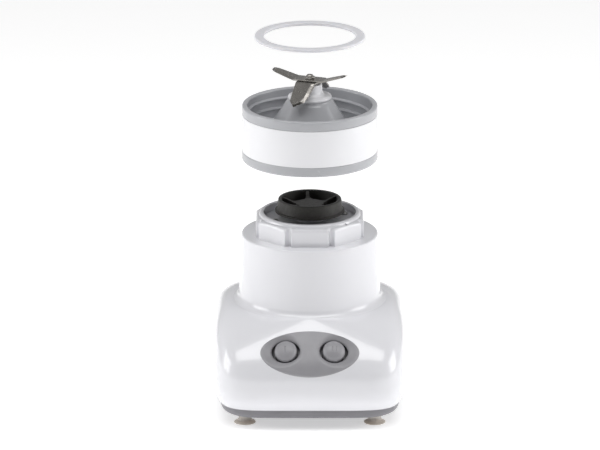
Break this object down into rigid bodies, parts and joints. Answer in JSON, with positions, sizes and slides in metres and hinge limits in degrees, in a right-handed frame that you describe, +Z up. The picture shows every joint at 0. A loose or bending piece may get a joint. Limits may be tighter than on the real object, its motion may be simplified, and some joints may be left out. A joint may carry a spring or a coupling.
{
  "type": "countertop blender",
  "caption": "Countertop blender motor base with push buttons and drive coupling, with its threaded blade collar and sealing ring lifted off above it.",
  "frame": {"origin": "at the level of the feet, in the middle of the base's width and midway between its front and its back, 10 mm in front of the motor's axis", "axes": "+Z up, parallel to the motor's axis, -Y towards the control panel, +X to the right of a person facing the panel"},
  "size_m": [0.1762, 0.2023, 0.3469],
  "materials": {
    "white_abs": "glossy moulded ABS",
    "grey_abs": "satin moulded ABS",
    "well_plastic": "matte moulded polypropylene",
    "foot_silicone": "translucent soft silicone",
    "seal_silicone": "translucent silicone",
    "black_rubber": "matte moulded rubber",
    "blade_steel": "ground stainless steel",
    "zinc_steel": "zinc plated steel",
    "copper_wire": "enamelled copper",
    "bronze": "sintered bronze",
    "black_nylon": "moulded nylon",
    "carbon": "pressed carbon"
  },
  "bodies": {
    "base": {"main_housing": "white_abs", "turret": "white_abs", "seat_ring": "white_abs", "spill_plate": "well_plastic", "plate_screws": "zinc_steel", "bottom_cover": "grey_abs", "cover_screws": "zinc_steel", "control_panel": "grey_abs", "button_retainer": "well_plastic", "switch_block": "black_rubber", "cord_bushing": "well_plastic", "suppression_capacitor": "black_rubber", "stator_core": "zinc_steel", "lower_bracket": "zinc_steel", "upper_bracket": "zinc_steel", "lower_bearing": "bronze", "upper_bearing": "bronze", "motor_bolts": "zinc_steel", "damping_bushes": "black_rubber", "mounting_screws": "zinc_steel", "field_coil_left": "copper_wire", "field_coil_right": "copper_wire", "brush_holder_front": "bronze", "brush_holder_rear": "bronze", "carbon_brush_front": "carbon", "carbon_brush_rear": "carbon", "foot_front_left": "foot_silicone", "foot_front_right": "foot_silicone", "foot_rear_left": "foot_silicone", "foot_rear_right": "foot_silicone"},
    "rotor": {"motor_shaft": "blade_steel", "armature_core": "zinc_steel", "armature_winding": "copper_wire", "commutator": "copper_wire", "cooling_fan": "black_nylon", "coupling_insert": "bronze", "drive_coupling": "black_rubber"},
    "left_button": {"button_left": "grey_abs", "button_spring_left": "zinc_steel"},
    "right_button": {"button_right": "grey_abs", "button_spring_right": "zinc_steel"},
    "collar": {"collar_body": "grey_abs", "blade_cone": "grey_abs", "collar_sleeve": "white_abs", "collar_base_ring": "grey_abs", "bearing_housing": "white_abs", "upper_shaft_bush": "bronze", "lower_shaft_bush": "bronze", "shaft_seal": "black_rubber"},
    "blades": {"blade_shaft": "blade_steel", "driven_coupling": "black_rubber", "retaining_clip": "blade_steel", "blade_washer": "blade_steel", "lower_blade": "blade_steel", "upper_blade": "blade_steel", "blade_nut": "blade_steel"},
    "gasket": {"sealing_ring": "seal_silicone"}
  },
  "joints": [
    {"name": "motor_spin", "type": "hinge", "parent": "base", "child": "rotor", "pos_m": [0, 0.01, 0.09], "axis": [0, 0, 1], "continuous": true},
    {"name": "collar_lift", "type": "slide", "parent": "base", "child": "collar", "axis": [0, 0, 1], "range_m": [-0.0699, 0]},
    {"name": "blade_spin", "type": "hinge", "parent": "collar", "child": "blades", "pos_m": [0, 0.01, 0.28], "axis": [0, 0, 1], "continuous": true},
    {"name": "gasket_lift", "type": "slide", "parent": "collar", "child": "gasket", "axis": [0, 0, 1], "range_m": [-0.0897, 0]},
    {"name": "left_button_press", "type": "slide", "parent": "base", "child": "left_button", "axis": [0.1045, 0.6909, -0.7154], "range_m": [0, 0.003], "stiffness_N_per_m": 900, "deforming": ["button_spring_left"]},
    {"name": "right_button_press", "type": "slide", "parent": "base", "child": "right_button", "axis": [-0.1045, 0.6909, -0.7154], "range_m": [0, 0.003], "stiffness_N_per_m": 900, "deforming": ["button_spring_right"]}
  ],
  "couplings": [
    {"joint": "blade_spin", "follows": "motor_spin", "ratio": 1}
  ]
}
